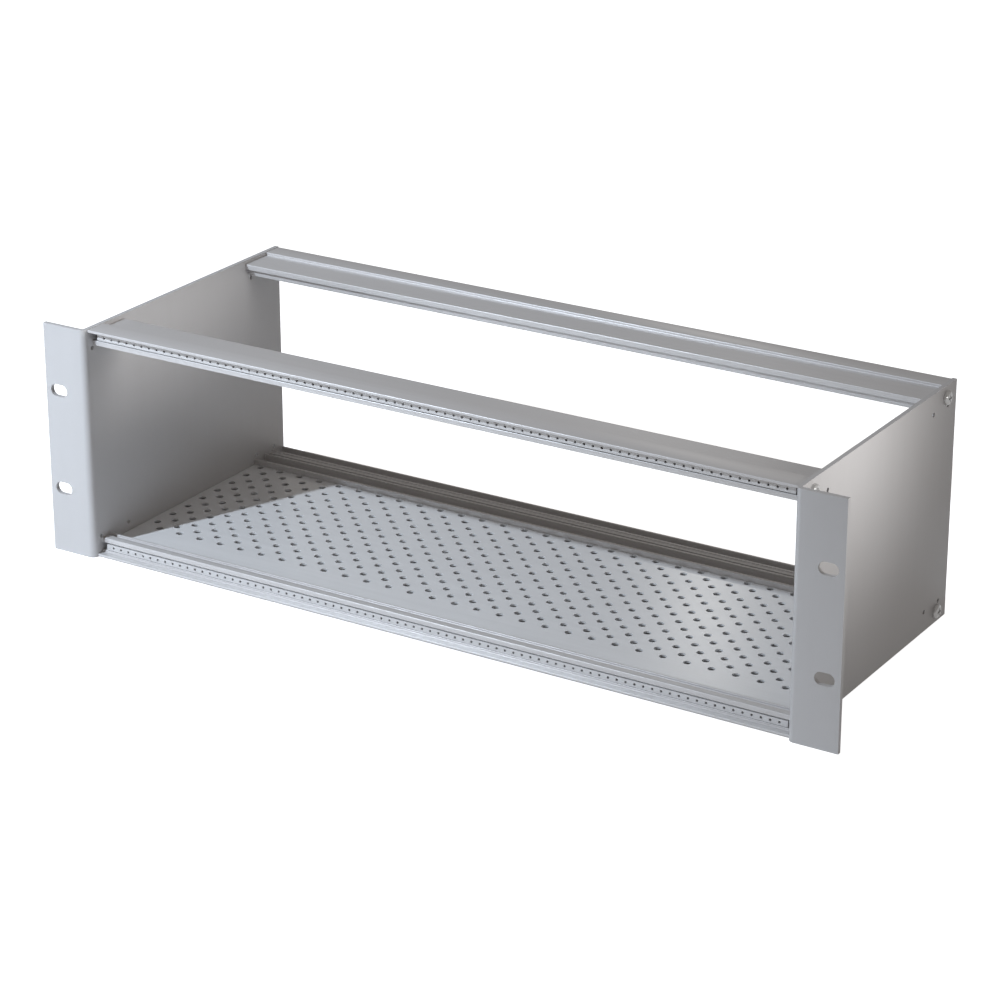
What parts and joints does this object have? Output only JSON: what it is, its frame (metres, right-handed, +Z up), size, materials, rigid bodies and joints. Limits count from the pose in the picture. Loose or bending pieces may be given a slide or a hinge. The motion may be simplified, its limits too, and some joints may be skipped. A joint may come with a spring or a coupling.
{
  "type": "sheet metal chassis",
  "caption": "Folded side plates with slotted rack ears, joined by extruded rails, with tapped front strips and a perforated base sheet; open at the front, rear and top.",
  "frame": {"origin": "centre of the bounding box in plan, on the plane the chassis stands on", "axes": "+X to the chassis's right seen from its open front, +Y from the front to the rear, +Z up"},
  "size_m": [0.4826, 0.1788, 0.1325],
  "materials": {
    "side_plates": "satin anodised sheet",
    "rails": "satin anodised extrusion",
    "strips": "zinc plated",
    "base": "satin sheet",
    "screws": "bright plated"
  },
  "bodies": {
    "root": {"left_side_plate": "side_plates", "right_side_plate": "side_plates", "top_front_rail": "rails", "bottom_front_rail": "rails", "top_rear_rail": "rails", "bottom_rear_rail": "rails", "top_tapped_strip": "strips", "bottom_tapped_strip": "strips", "perforated_base": "base", "screw_left_front_bottom": "screws", "screw_left_front_top": "screws", "screw_left_rear_bottom": "screws", "screw_left_rear_top": "screws", "screw_right_front_bottom": "screws", "screw_right_front_top": "screws", "screw_right_rear_bottom": "screws", "screw_right_rear_top": "screws"}
  },
  "joints": []
}
